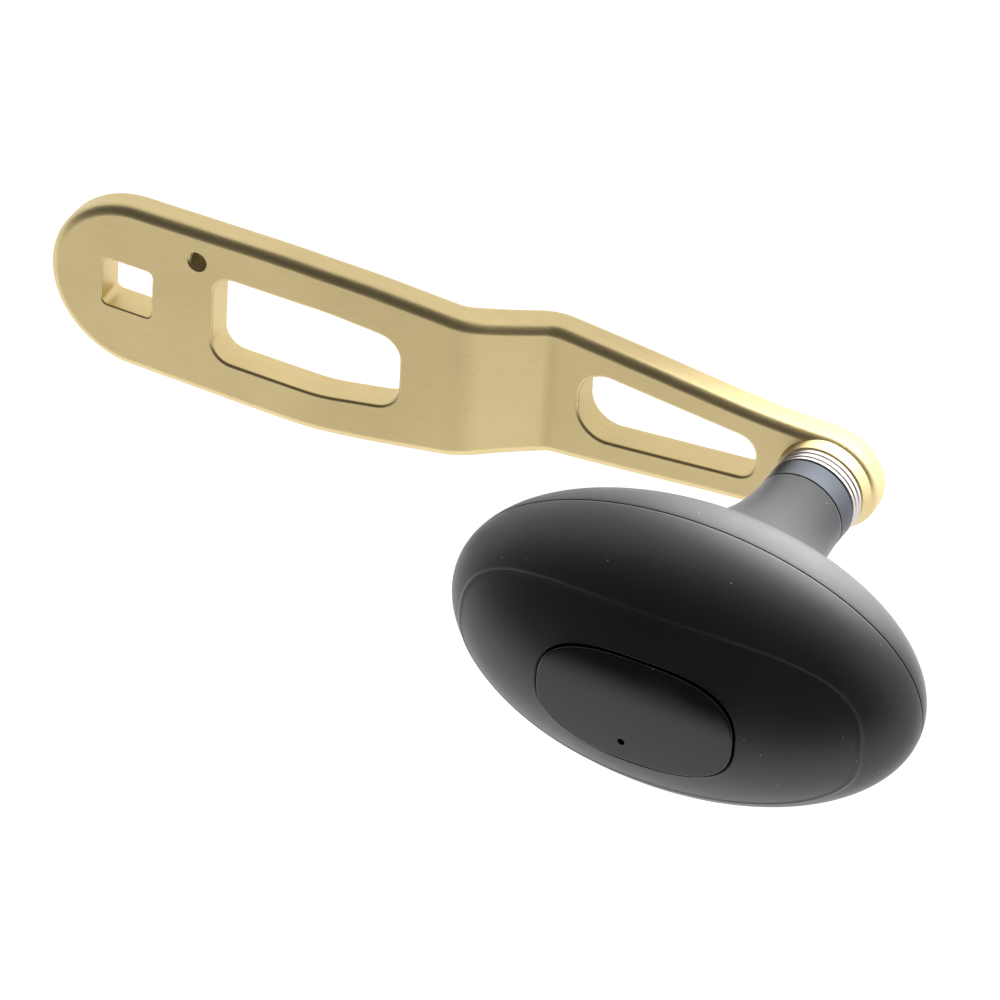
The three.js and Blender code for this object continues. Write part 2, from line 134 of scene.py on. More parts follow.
# A path through corners (x, y, radius), each corner replaced by an arc tangent to both sides: the arc's
# centre lies radius / sin(half the corner) out along the bisector, and the arc turns by what the corner
# lacks to a straight line.
def roundCorners(corners, closed=True, steps=10):
    xy = np.array([corner[:2] for corner in corners], float)
    path = []
    for i, corner in enumerate(corners):
        radius = corner[2] if len(corner) > 2 else 0
        if radius == 0 or (not closed and i in (0, len(corners) - 1)):
            path.append(xy[i][None])
            continue
        toBefore, toAfter = xy[i - 1] - xy[i], xy[(i + 1) % len(xy)] - xy[i]
        toBefore, toAfter = toBefore / np.linalg.norm(toBefore), toAfter / np.linalg.norm(toAfter)
        half = math.acos(np.clip(toBefore @ toAfter, -1, 1)) / 2
        bisector = (toBefore + toAfter) / np.linalg.norm(toBefore + toAfter)
        centre = xy[i] + bisector * radius / math.sin(half)
        first = xy[i] + toBefore * radius / math.tan(half) - centre
        turn = math.copysign(math.pi - 2 * half, -(toBefore[0] * toAfter[1] - toBefore[1] * toAfter[0]))
        swept = np.linspace(0, turn, steps + 1)
        cosine, sine = np.cos(swept), np.sin(swept)
        turned = [first[0] * cosine - first[1] * sine, first[0] * sine + first[1] * cosine]
        path.append(centre + np.stack(turned, -1))
    return np.concatenate(path)


# The same closed loop with its points at equal steps of length, turned anticlockwise by the sign of its area.
def evenLoop(points, count):
    ring = np.vstack([points, points[:1]])
    length = np.concatenate([[0], np.cumsum(np.linalg.norm(np.diff(ring, axis=0), axis=1))])
    at = np.linspace(0, length[-1], count, endpoint=False)
    loop = np.stack([np.interp(at, length, ring[:, k]) for k in (0, 1)], -1)
    area = np.sum(loop[:, 0] * np.roll(loop[:, 1], -1) - np.roll(loop[:, 0], -1) * loop[:, 1])
    return loop if area > 0 else loop[::-1]


# Unit normals of an anticlockwise loop, pointing to its inside: the direction from the point before to the
# point after, turned a quarter to the left.
def inwardNormals(loop):
    along = np.roll(loop, -1, 0) - np.roll(loop, 1, 0)
    along /= np.linalg.norm(along, axis=1)[:, None]
    return np.stack([-along[:, 1], along[:, 0]], -1)


# A turned piece: each profile point (radius, height) carried round the centre, x = radius cos, y = radius
# sin.
def turnedGrid(profile, segments=144, centre=(knobX, 0)):
    angle = np.linspace(0, 2 * np.pi, segments, endpoint=False)
    radius, height = profile[:, 0:1], profile[:, 1:2]
    return np.stack([centre[0] + radius * np.cos(angle), centre[1] + radius * np.sin(angle),
                     height + 0 * angle], -1)


# A turned ring: a rectangle from bore to rim, with its outer corners rounded by edge and its inner ones by
# half that.
def ringGrid(inner, outer, low, high, edge):
    profile = roundCorners([(inner, low, edge / 2), (outer, low, edge), (outer, high, edge),
                            (inner, high, edge / 2)], steps=6)
    return turnedGrid(np.vstack([profile, profile[:1]]))


# Lays the nodes out in columns from left to right, each column from the top down.
def placeNodes(columns):
    for column, nodes in enumerate(columns):
        for row, node in enumerate(nodes):
            node.location = (column * 260, -row * 300)


# An empty node material and its tree.
def newMaterial(name):
    material = bpy.data.materials.new(name)
    material.use_nodes = True
    tree = material.node_tree
    tree.nodes.clear()
    return material, tree


goldLook = {
    "colour": (0.72, 0.585, 0.308), "deepColour": (0.585, 0.468, 0.235),
    "roughness": 0.41, "smoother": 0.05, "rougher": 0.09,  # the lines move the roughness this far
    "grainAcross": 2600, "grainAlong": 150, "grainDetail": 5.0, "grainRoughness": 0.65,
    "grainDepth": 0.10, "grainDistance": 0.00006,
    "cloudScale": 60.0, "cloudDetail": 3.0, "lineShare": 0.55, "cloudShare": 0.45, "tintRange": (0.25, 0.62),
}


# Brushed anodised aluminium: noise stretched along the arm is the brush lines. Lines and slow clouds, added
# in their shares, mix the two dye colours, and the lines alone move the roughness and cut the relief.
def goldAnodised():
    material, tree = newMaterial("gold_anodised_brushed")
    nodes, links = tree.nodes, tree.links
    place = nodes.new("ShaderNodeTexCoord")
    place.label = "place on the arm"
    stretch = nodes.new("ShaderNodeMapping")
    stretch.label = "brush lines run along the arm"
    stretch.inputs["Scale"].default_value = (
        goldLook["grainAlong"], goldLook["grainAcross"], goldLook["grainAcross"])
    lines = nodes.new("ShaderNodeTexNoise")
    lines.label = "fine brush lines"
    lines.inputs["Scale"].default_value = 1.0
    lines.inputs["Detail"].default_value = goldLook["grainDetail"]
    lines.inputs["Roughness"].default_value = goldLook["grainRoughness"]
    clouds = nodes.new("ShaderNodeTexNoise")
    clouds.label = "slow change of the dye"
    clouds.inputs["Scale"].default_value = goldLook["cloudScale"]
    clouds.inputs["Detail"].default_value = goldLook["cloudDetail"]
    dye = nodes.new("ShaderNodeMix")
    dye.label = "dye colour"
    dye.data_type = "RGBA"
    dye.inputs["A"].default_value = (*goldLook["deepColour"], 1)
    dye.inputs["B"].default_value = (*goldLook["colour"], 1)
    dyeShare = nodes.new("ShaderNodeMapRange")
    dyeShare.label = "how much lines and clouds tint"
    dyeShare.inputs["From Min"].default_value = goldLook["tintRange"][0]
    dyeShare.inputs["From Max"].default_value = goldLook["tintRange"][1]
    tintSum = nodes.new("ShaderNodeMath")
    tintSum.label = "lines over clouds"
    tintSum.operation = "MULTIPLY_ADD"
    tintSum.inputs[1].default_value = goldLook["lineShare"]
    cloudShare = nodes.new("ShaderNodeMath")
    cloudShare.label = "clouds at under half"
    cloudShare.operation = "MULTIPLY"
    cloudShare.inputs[1].default_value = goldLook["cloudShare"]
    polish = nodes.new("ShaderNodeMapRange")
    polish.label = "lines change the polish"
    polish.inputs["To Min"].default_value = goldLook["roughness"] - goldLook["smoother"]
    polish.inputs["To Max"].default_value = goldLook["roughness"] + goldLook["rougher"]
    scratches = nodes.new("ShaderNodeBump")
    scratches.label = "depth of the brush lines"
    scratches.inputs["Strength"].default_value = goldLook["grainDepth"]
    scratches.inputs["Distance"].default_value = goldLook["grainDistance"]
    metal = nodes.new("ShaderNodeBsdfPrincipled")
    metal.label = "anodised aluminium"
    metal.inputs["Metallic"].default_value = 1.0
    output = nodes.new("ShaderNodeOutputMaterial")
    grain = nodes.new("NodeFrame")
    grain.label = "brushed grain"
    for node in (place, stretch, lines, scratches, polish):
        node.parent = grain
    tint = nodes.new("NodeFrame")
    tint.label = "dye tint"
    for node in (clouds, cloudShare, tintSum, dyeShare, dye):
        node.parent = tint
    placeNodes([(place,), (stretch, clouds), (lines, cloudShare), (tintSum, polish, scratches),
                      (dyeShare,), (dye,), (metal,), (output,)])
    links.new(place.outputs["Object"], stretch.inputs["Vector"])
    links.new(stretch.outputs["Vector"], lines.inputs["Vector"])
    links.new(place.outputs["Object"], clouds.inputs["Vector"])
    links.new(clouds.outputs["Fac"], cloudShare.inputs[0])
    links.new(lines.outputs["Fac"], tintSum.inputs[0])
    links.new(cloudShare.outputs["Value"], tintSum.inputs[2])
    links.new(tintSum.outputs["Value"], dyeShare.inputs["Value"])
    links.new(dyeShare.outputs["Result"], dye.inputs["Factor"])
    links.new(lines.outputs["Fac"], polish.inputs["Value"])
    links.new(lines.outputs["Fac"], scratches.inputs["Height"])
    links.new(dye.outputs["Result"], metal.inputs["Base Color"])
    links.new(polish.outputs["Result"], metal.inputs["Roughness"])
    links.new(scratches.outputs["Normal"], metal.inputs["Normal"])
    links.new(metal.outputs["BSDF"], output.inputs["Surface"])
    return material


turnedLook = {
    "ringDetail": 3.0, "markDistance": 0.00003, "darkShare": 0.78,  # a mark's colour over the metal's
    "smearScale": 700.0, "polished": 0.8, "dulled": 1.3,  # shares of the roughness
}


# Lathe-turned metal: fine rings round the axle, from noise read at (radius, height) only. The rings darken
# the metal and cut its relief, and smears of slower noise move its roughness.
def turnedMetal(name, colour, roughness, ringScale=9000, ringDepth=0.2):
    material, tree = newMaterial(name)
    nodes, links = tree.nodes, tree.links
    place = nodes.new("ShaderNodeTexCoord")
    place.label = "place on the knob stack"
    fromAxle = nodes.new("ShaderNodeVectorMath")
    fromAxle.label = "measured from the axle"
    fromAxle.operation = "SUBTRACT"
    fromAxle.inputs[1].default_value = (knobX * mm, 0, 0)
    split = nodes.new("ShaderNodeSeparateXYZ")
    split.label = "across and up"
    flat = nodes.new("ShaderNodeCombineXYZ")
    flat.label = "radius vector"
    radius = nodes.new("ShaderNodeVectorMath")
    radius.label = "radius"
    radius.operation = "LENGTH"
    ringPlace = nodes.new("ShaderNodeCombineXYZ")
    ringPlace.label = "radius and height"
    rings = nodes.new("ShaderNodeTexNoise")
    rings.label = "turning marks"
    rings.inputs["Scale"].default_value = ringScale
    rings.inputs["Detail"].default_value = turnedLook["ringDetail"]
    smears = nodes.new("ShaderNodeTexNoise")
    smears.label = "handling smears"
    smears.inputs["Scale"].default_value = turnedLook["smearScale"]
    shade = nodes.new("ShaderNodeMix")
    shade.label = "marks darken the metal"
    shade.data_type = "RGBA"
    shade.inputs["A"].default_value = (*[c * turnedLook["darkShare"] for c in colour], 1)
    shade.inputs["B"].default_value = (*colour, 1)
    polish = nodes.new("ShaderNodeMapRange")
    polish.label = "smears dull the polish"
    polish.inputs["To Min"].default_value = roughness * turnedLook["polished"]
    polish.inputs["To Max"].default_value = roughness * turnedLook["dulled"]
    marks = nodes.new("ShaderNodeBump")
    marks.label = "depth of the turning marks"
    marks.inputs["Strength"].default_value = ringDepth
    marks.inputs["Distance"].default_value = turnedLook["markDistance"]
    metal = nodes.new("ShaderNodeBsdfPrincipled")
    metal.label = "turned metal"
    metal.inputs["Metallic"].default_value = 1.0
    output = nodes.new("ShaderNodeOutputMaterial")
    turning = nodes.new("NodeFrame")
    turning.label = "turning marks round the axle"
    for node in (place, fromAxle, split, flat, radius, ringPlace, rings, shade, marks):
        node.parent = turning
    handling = nodes.new("NodeFrame")
    handling.label = "handling"
    for node in (smears, polish):
        node.parent = handling
    placeNodes([(place,), (fromAxle,), (split,), (flat,), (radius,), (ringPlace,), (rings, smears),
                      (shade, polish, marks), (metal,), (output,)])
    links.new(place.outputs["Object"], fromAxle.inputs[0])
    links.new(fromAxle.outputs["Vector"], split.inputs["Vector"])
    links.new(split.outputs["X"], flat.inputs["X"])
    links.new(split.outputs["Y"], flat.inputs["Y"])
    links.new(flat.outputs["Vector"], radius.inputs[0])
    links.new(radius.outputs["Value"], ringPlace.inputs["X"])
    links.new(split.outputs["Z"], ringPlace.inputs["Z"])
    links.new(ringPlace.outputs["Vector"], rings.inputs["Vector"])
    links.new(place.outputs["Object"], smears.inputs["Vector"])
    links.new(rings.outputs["Fac"], shade.inputs["Factor"])
    links.new(smears.outputs["Fac"], polish.inputs["Value"])
    links.new(rings.outputs["Fac"], marks.inputs["Height"])
    links.new(shade.outputs["Result"], metal.inputs["Base Color"])
    links.new(polish.outputs["Result"], metal.inputs["Roughness"])
    links.new(marks.outputs["Normal"], metal.inputs["Normal"])
    links.new(metal.outputs["BSDF"], output.inputs["Surface"])
    return material


mouldedLook = {
    "skinDetail": 3.0, "skinDistance": 0.00004, "cloudScale": 110.0, "cloudDetail": 4.0,
    "darker": 0.8, "lighter": 1.2, "polishSpread": 0.09,
    "speckCells": 550.0, "speckSize": 0.045, "dustColour": (0.42, 0.42, 0.40),
    "sheenRoughness": 0.35, "sheenTint": (0.92, 0.95, 1.0),
}


# Black moulded material: fine noise is the skin's relief, slow noise moves its shade and roughness, and the
# middles of a few cells, those whose own number is under the dust share, are specks of dust.
def mouldedBlack(name, colour, roughness, specular, sheen=0.0, grainScale=6000, grainDepth=0.12, dust=0.0):
    material, tree = newMaterial(name)
    nodes, links = tree.nodes, tree.links
    place = nodes.new("ShaderNodeTexCoord")
    place.label = "place on the piece"
    skin = nodes.new("ShaderNodeTexNoise")
    skin.label = "skin grain"
    skin.inputs["Scale"].default_value = grainScale
    skin.inputs["Detail"].default_value = mouldedLook["skinDetail"]
    clouds = nodes.new("ShaderNodeTexNoise")
    clouds.label = "slow change of shade"
    clouds.inputs["Scale"].default_value = mouldedLook["cloudScale"]
    clouds.inputs["Detail"].default_value = mouldedLook["cloudDetail"]
    shade = nodes.new("ShaderNodeMix")
    shade.label = "moulded colour"
    shade.data_type = "RGBA"
    shade.inputs["A"].default_value = (*[c * mouldedLook["darker"] for c in colour], 1)
    shade.inputs["B"].default_value = (*[c * mouldedLook["lighter"] for c in colour], 1)
    cells = nodes.new("ShaderNodeTexVoronoi")
    cells.label = "one speck to a cell"
    cells.inputs["Scale"].default_value = mouldedLook["speckCells"]
    speck = nodes.new("ShaderNodeMath")
    speck.label = "speck size"
    speck.operation = "LESS_THAN"
    speck.inputs[1].default_value = mouldedLook["speckSize"]
    cellValue = nodes.new("ShaderNodeSeparateColor")
    cellValue.label = "cell's own number"
    rare = nodes.new("ShaderNodeMath")
    rare.label = "only a few cells have one"
    rare.operation = "LESS_THAN"
    rare.inputs[1].default_value = dust
    dustShare = nodes.new("ShaderNodeMath")
    dustShare.label = "dust specks"
    dustShare.operation = "MULTIPLY"
    dusted = nodes.new("ShaderNodeMix")
    dusted.label = "dust over the colour"
    dusted.data_type = "RGBA"
    dusted.inputs["B"].default_value = (*mouldedLook["dustColour"], 1)
    polish = nodes.new("ShaderNodeMapRange")
    polish.label = "handled patches shine more"
    polish.inputs["To Min"].default_value = roughness - mouldedLook["polishSpread"]
    polish.inputs["To Max"].default_value = roughness + mouldedLook["polishSpread"]
    pores = nodes.new("ShaderNodeBump")
    pores.label = "depth of the skin"
    pores.inputs["Strength"].default_value = grainDepth
    pores.inputs["Distance"].default_value = mouldedLook["skinDistance"]
    body = nodes.new("ShaderNodeBsdfPrincipled")
    body.label = "moulded black"
    body.inputs["Specular IOR Level"].default_value = specular
    body.inputs["Sheen Weight"].default_value = sheen
    body.inputs["Sheen Roughness"].default_value = mouldedLook["sheenRoughness"]
    body.inputs["Sheen Tint"].default_value = (*mouldedLook["sheenTint"], 1)
    output = nodes.new("ShaderNodeOutputMaterial")
    surface = nodes.new("NodeFrame")
    surface.label = "skin"
    for node in (skin, pores, clouds, shade, polish):
        node.parent = surface
    dustFrame = nodes.new("NodeFrame")
    dustFrame.label = "dust"
    for node in (cells, speck, cellValue, rare, dustShare, dusted):
        node.parent = dustFrame
    placeNodes([(place,), (skin, clouds, cells), (pores, shade, speck, cellValue), (polish, rare),
                      (dustShare,), (dusted,), (body,), (output,)])
    links.new(place.outputs["Object"], skin.inputs["Vector"])
    links.new(place.outputs["Object"], clouds.inputs["Vector"])
    links.new(place.outputs["Object"], cells.inputs["Vector"])
    links.new(cells.outputs["Distance"], speck.inputs[0])
    links.new(cells.outputs["Color"], cellValue.inputs["Color"])
    links.new(cellValue.outputs["Red"], rare.inputs[0])
    links.new(speck.outputs["Value"], dustShare.inputs[0])
    links.new(rare.outputs["Value"], dustShare.inputs[1])
    links.new(clouds.outputs["Fac"], shade.inputs["Factor"])
    links.new(dustShare.outputs["Value"], dusted.inputs["Factor"])
    links.new(shade.outputs["Result"], dusted.inputs["A"])
    links.new(clouds.outputs["Fac"], polish.inputs["Value"])
    links.new(skin.outputs["Fac"], pores.inputs["Height"])
    links.new(dusted.outputs["Result"], body.inputs["Base Color"])
    links.new(polish.outputs["Result"], body.inputs["Roughness"])
    links.new(pores.outputs["Normal"], body.inputs["Normal"])
    links.new(body.outputs["BSDF"], output.inputs["Surface"])
    return material


gold = goldAnodised()
brightSteel = turnedMetal("bright_ground_steel", colour=(0.60, 0.555, 0.53), roughness=0.24)
bearingSteel = turnedMetal(
    "polished_bearing_steel", colour=(0.62, 0.63, 0.65), roughness=0.14, ringDepth=0.05)
darkMetal = turnedMetal("dark_turned_metal", colour=(0.085, 0.093, 0.108), roughness=0.34,
                        ringScale=7000, ringDepth=0.5)
cageBrass = turnedMetal("pressed_brass", colour=(0.72, 0.52, 0.22), roughness=0.3)
softTouch = mouldedBlack("soft_touch_rubber", colour=(0.0165, 0.0172, 0.0192), roughness=0.44, specular=0.42,
                         sheen=0.3, dust=0.35)
glossBlack = mouldedBlack("gloss_black_plastic", colour=(0.003, 0.0036, 0.0048), roughness=0.1, specular=0.42,
                          grainDepth=0.004, dust=0.12)
coreNylon = mouldedBlack("moulded_nylon", colour=(0.02, 0.02, 0.021), roughness=0.5, specular=0.5)
sealRubber = mouldedBlack("seal_rubber", colour=(0.008, 0.008, 0.008), roughness=0.6, specular=0.3)
print("materials made")


armShape = {  # mm
    "hubRadius": 12.75, "hubX": 1.0, "tipRadius": 7.2,
    "edge": [(1, 12.75), (12, 12.95), (25, 13.1), (34, 12.6), (44, 11.5), (52, 10.55), (60, 10.1), (72, 8.95),
             (84, 7.7), (91, 7.25), (97.8, 7.2)],
    "lineEnds": (-20, 120), "bendStart": 28,
    "crankTop": (48.3, -1.75), "crankFoot": 58.2, "bendRadii": (60, 9.5, 3.5),
    "hubWindow": [(12.7, 6.7, 3.0), (29, 6.75, 30), (39.8, 5.3, 3.6)],  # upper half: x, y, corner radius
    "knobWindow": [(62.4, 5.5, 4.2), (88.0, 3.05, 2.7)],
    "outerFillet": 1.45, "windowFillet": 0.4, "socketFillet": 0.22, "boreFillet": 0.12,
    "socket": 7.4, "socketCorner": 0.9, "axleBore": 3.65,
    "tapped": (10.2, 8.0), "tappedCore": 1.24, "threadDepth": 0.27, "threadPitch": 0.5, "tappedChamfer": 0.28,
    "threadFlank": 1.25, "threadFlat": 0.1,  # steepness of the flanks, and the flat root
    "seatHeight": 1.25, "seatSunk": 1.2, "seatFoot": 6.95, "seatTop": 6.3, "seatEdge": 0.2,
    "faceSpan": ((-10, 104), (-12, 12.1)), "faceStep": (1.6, 1.5),  # inner points of the two faces
    "bendSpan": (44, 62), "bendStep": 0.5, "outerClear": 0.5, "holeClear": 0.4, "planTolerance": 1e-7,
}


# Height of the plate's front line (offset 0) or back line (offset = thickness) over x:
# three straight lines joined by arcs, and the same path moved behind itself by the offset.
def sideLine(offset):
    corners = np.array([(armShape["lineEnds"][0], 0), (armShape["bendStart"], 0), armShape["crankTop"],
                        (armShape["crankFoot"], -crankDrop), (armShape["lineEnds"][1], -crankDrop)], float)
    run = np.diff(corners, axis=0)
    run /= np.linalg.norm(run, axis=1)[:, None]
    behind = np.stack([run[:, 1], -run[:, 0]], -1)
    before, after = np.vstack([behind[:1], behind]), np.vstack([behind, behind[-1:]])
    bisector = (before + after) / np.linalg.norm(before + after, axis=1)[:, None]
    moved = corners + bisector * (offset / np.sum(bisector * before, axis=1))[:, None]
    first, convex, concave = armShape["bendRadii"]
    radii = (0, first - offset, convex - offset, concave + offset, 0)
    return roundCorners([(*corner, radius) for corner, radius in zip(moved, radii)], closed=False, steps=24)


frontLine, backLine = sideLine(0), sideLine(plateThickness)


# Unit normal of the front line (facing 1) or the back line (facing -1) at x, from the line's own direction.
def plateNormal(x, line, facing):
    run = np.gradient(line, axis=0)
    angle = np.interp(x, line[:, 0], np.arctan2(run[:, 1], run[:, 0]))
    return facing * np.stack([-np.sin(angle), 0 * angle, np.cos(angle)], -1)


# Height of the plate's front face at x, read off its line.
def frontZ(x):
    return np.interp(x, frontLine[:, 0], frontLine[:, 1])


# Height of the plate's back face at x.
def backZ(x):
    return np.interp(x, backLine[:, 0], backLine[:, 1])


# Smooth edge through the given points: cubic spans whose end slopes follow the neighbours' chord.
def edgeCurve(points, steps=24):
    p = np.vstack([points[:1], points, points[-1:]])
    t = np.linspace(0, 1, steps, endpoint=False)[None, :, None]
    p0, p1, p2, p3 = (p[k:len(p) - 3 + k, None] for k in range(4))
    spans = 0.5 * (2 * p1 + (p2 - p0) * t + (2 * p0 - 5 * p1 + 4 * p2 - p3) * t ** 2
                   + (3 * p1 - p0 - 3 * p2 + p3) * t ** 3)
    return np.vstack([spans.reshape(-1, 2), points[-1:]])


# The arm in plan: the upper edge, a half circle round the axle, the upper edge mirrored, a half circle
# round the hub.
def armOutline(count, tipSteps=80, hubSteps=120):
    upper = edgeCurve(np.array(armShape["edge"], float))
    tipAngle = np.linspace(np.pi / 2, -np.pi / 2, tipSteps)[1:-1]
    tip = np.array([knobX, 0]) + armShape["tipRadius"] * np.stack([np.cos(tipAngle), np.sin(tipAngle)], -1)
    hubAngle = np.linspace(-np.pi / 2, -3 * np.pi / 2, hubSteps)[1:-1]
    hub = np.stack([armShape["hubX"] + armShape["hubRadius"] * np.cos(hubAngle),
                    armShape["hubRadius"] * np.sin(hubAngle)], -1)
    return evenLoop(np.vstack([upper, tip, (upper * (1, -1))[::-1], hub]), count)


# Corners (x, y, radius) of an upper half, and after them the same ones at -y, to close the outline.
def mirrored(corners):
    return corners + [(x, -y, radius) for x, y, radius in reversed(corners)]


# A loop's edge surface: quarter-round at the front face, straight wall, quarter-round at the back face.
# The round at angle a lies fillet*(1 - sin a) in from the wall and fillet*(1 - cos a) below the face,
# and its normal turns from the face's to the wall's by the same angle.
def rimGrid(loop, intoMaterial, fillet, roundSteps=8, wallRows=5):
    angle = np.linspace(0, np.pi / 2, roundSteps)
    inset, sunk = fillet * (1 - np.sin(angle)), fillet * (1 - np.cos(angle))
    plan = loop[None] + intoMaterial[None] * inset[:, None, None]
    front = np.dstack([plan, frontZ(plan[..., 0]) - sunk[:, None]])
    back = np.dstack([plan, backZ(plan[..., 0]) + sunk[:, None]])[::-1]
    share = np.linspace(0, 1, wallRows)[1:-1, None, None]
    wall = front[-1][None] * (1 - share) + back[0][None] * share
    sine, cosine = np.sin(angle)[:, None, None], np.cos(angle)[:, None, None]
    outward = np.column_stack([-intoMaterial, np.zeros(len(loop))])[None]
    frontNormal = plateNormal(plan[..., 0], frontLine, 1) * cosine + outward * sine
    backNormal = (plateNormal(plan[..., 0], backLine, -1) * cosine + outward * sine)[::-1]
    wallNormal = np.repeat(outward, wallRows - 2, axis=0)
    return np.concatenate([front, wall, back]), unit(np.concatenate([frontNormal, wallNormal, backNormal]))


# Vectors divided by their lengths.
def unit(vectors):
    return vectors / np.linalg.norm(vectors, axis=-1)[..., None]


# A circle of points, x = radius cos, y = radius sin, anticlockwise.
def circleLoop(centre, radius, count):
    angle = np.linspace(0, 2 * np.pi, count, endpoint=False)
    return np.stack([centre[0] + radius * np.cos(angle), centre[1] + radius * np.sin(angle)], -1)


# Threaded hole: a chamfer at each face, and between them a radius that rises and falls once per pitch and
# once per turn, so that the ridge climbs as a helix. Its normals are the cross product of the grid's two
# directions.
def threadGrid(count=72, stepsPerPitch=10):
    core, depth, pitch = armShape["tappedCore"], armShape["threadDepth"], armShape["threadPitch"]
    chamfer = armShape["tappedChamfer"]
    height = np.linspace(0, -plateThickness, int(plateThickness / pitch * stepsPerPitch) + 1)[:, None]
    angle = np.linspace(0, 2 * np.pi, count, endpoint=False)[None]
    wave = np.abs(((height / pitch + angle / (2 * np.pi)) % 1) * 2 - 1)
    mouth = core + chamfer - np.minimum(-height, height + plateThickness)
    radius = np.maximum(core + depth * np.clip(wave * armShape["threadFlank"] - armShape["threadFlat"], 0, 1),
                        mouth)
    radius[[0, -1]] = core + chamfer
    centre = armShape["tapped"]
    grid = np.stack([centre[0] + radius * np.cos(angle), centre[1] + radius * np.sin(angle),
                     height + 0 * angle], -1)
    normals = unit(np.cross(np.roll(grid, -1, 1) - np.roll(grid, 1, 1), np.gradient(grid, axis=0)))
    normals[0], normals[-1] = (0, 0, 1), (0, 0, -1)
    return grid, normals


# Which points lie in a loop: those from which a line towards +x crosses an odd number of its sides.
def insideLoop(points, loop):
    x, y = points[:, 0:1], points[:, 1:2]
    x0, y0 = loop[:, 0], loop[:, 1]
    x1, y1 = np.roll(x0, -1), np.roll(y0, -1)
    crosses = (y0 > y) != (y1 > y)
    with np.errstate(divide="ignore", invalid="ignore"):
        return np.sum(crosses & (x < (x1 - x0) * (y - y0) / (y1 - y0) + x0), axis=1) % 2 == 1


# Triangles of the plate's face between its outer loop and its holes, with inner points so that it can bend.
def plateTriangles(outer, holes):
    (spanX, spanY), (stepX, stepY) = armShape["faceSpan"], armShape["faceStep"]
    bendXs = np.arange(*armShape["bendSpan"], armShape["bendStep"])
    xs = np.unique(np.concatenate([np.arange(*spanX, stepX), bendXs]))
    gx, gy = np.meshgrid(xs, np.arange(*spanY, stepY), indexing="ij")
    inner = np.stack([gx.ravel(), gy.ravel()], -1)
    inner = inner[insideLoop(inner, outer + inwardNormals(outer) * armShape["outerClear"])]
    for hole in holes:
        inner = inner[~insideLoop(inner, hole - inwardNormals(hole) * armShape["holeClear"])]
    loops = [outer, *holes]
    points = np.vstack(loops + [inner])
    edges, start = [], 0
    for loop in loops:
        index = np.arange(len(loop))
        edges += np.stack([index + start, (index + 1) % len(loop) + start], -1).tolist()
        start += len(loop)
    corners = [Vector(p) for p in points.tolist()]
    made = geometry.delaunay_2d_cdt(corners, edges, [], 0, armShape["planTolerance"])
    flat = np.array([tuple(v) for v in made[0]])
    triangles = np.array([f for f in made[2] if len(f) == 3])
    centre = flat[triangles].mean(axis=1)
    keep = insideLoop(centre, outer)
    for hole in holes:
        keep &= ~insideLoop(centre, hole)
    return flat, triangles[keep]


# The arm: an edge surface round the outline and round each hole, and between them the same plan points set
# at the front line's height and at the back line's. The washers' seat is a low cone turned round the axle.
def buildArm():
    half = armShape["socket"] / 2
    corner = armShape["socketCorner"]
    socket = [(half, half, corner), (-half, half, corner), (-half, -half, corner), (half, -half, corner)]
    hubWindow, knobWindow = mirrored(armShape["hubWindow"]), mirrored(armShape["knobWindow"])
    outer = armOutline(640)
    loops = [(evenLoop(roundCorners(hubWindow, steps=16), 260), armShape["windowFillet"]),
             (evenLoop(roundCorners(knobWindow, steps=16), 240), armShape["windowFillet"]),
             (evenLoop(roundCorners(socket, steps=8), 128), armShape["socketFillet"]),
             (circleLoop((knobX, 0), armShape["axleBore"], 96), armShape["boreFillet"])]
    grids = [rimGrid(outer, inwardNormals(outer), armShape["outerFillet"], roundSteps=10)]
    holes = []
    for loop, fillet in loops:
        grids.append(rimGrid(loop, -inwardNormals(loop), fillet, roundSteps=6))
        holes.append(loop - inwardNormals(loop) * fillet)
    grids.append(threadGrid())
    holes.append(circleLoop(armShape["tapped"], armShape["tappedCore"] + armShape["tappedChamfer"], 72))
    outerInset = outer + inwardNormals(outer) * armShape["outerFillet"]
    plan, triangles = plateTriangles(outerInset, holes)
    front = np.column_stack([plan, frontZ(plan[:, 0])])
    back = np.column_stack([plan, backZ(plan[:, 0])])
    normals = [normal.reshape(-1, 3) for _, normal in grids]
    normals += [plateNormal(plan[:, 0], frontLine, 1), plateNormal(plan[:, 0], backLine, -1)]
    arm = makePiece("gold_arm", gold, [grid for grid, _ in grids],
                    [(front, triangles), (back, triangles[:, ::-1])], normals=np.concatenate(normals))
    settle(arm, "arm", "gold_anodised_aluminium", "crank_arm")
    bore, top = armShape["axleBore"], armShape["seatHeight"] - crankDrop
    foot = -crankDrop - armShape["seatSunk"]
    profile = roundCorners([(bore, foot), (armShape["seatFoot"], foot),
                            (armShape["seatTop"], top, armShape["seatEdge"]), (bore, top)], steps=6)
    seat = makePiece("washer_seat", gold, [turnedGrid(np.vstack([profile, profile[:1]]))])
    settle(seat, "arm", "gold_anodised_aluminium", "crank_arm")


buildArm()
print("arm made")


ringShape = {  # mm
    "washerBore": 3.0, "washerRadius": 6.2, "washerGap": 0.02, "washerEdge": 0.2,
    "sealBore": 3.2, "sealRadius": 5.55, "sealEdge": 0.12,
}


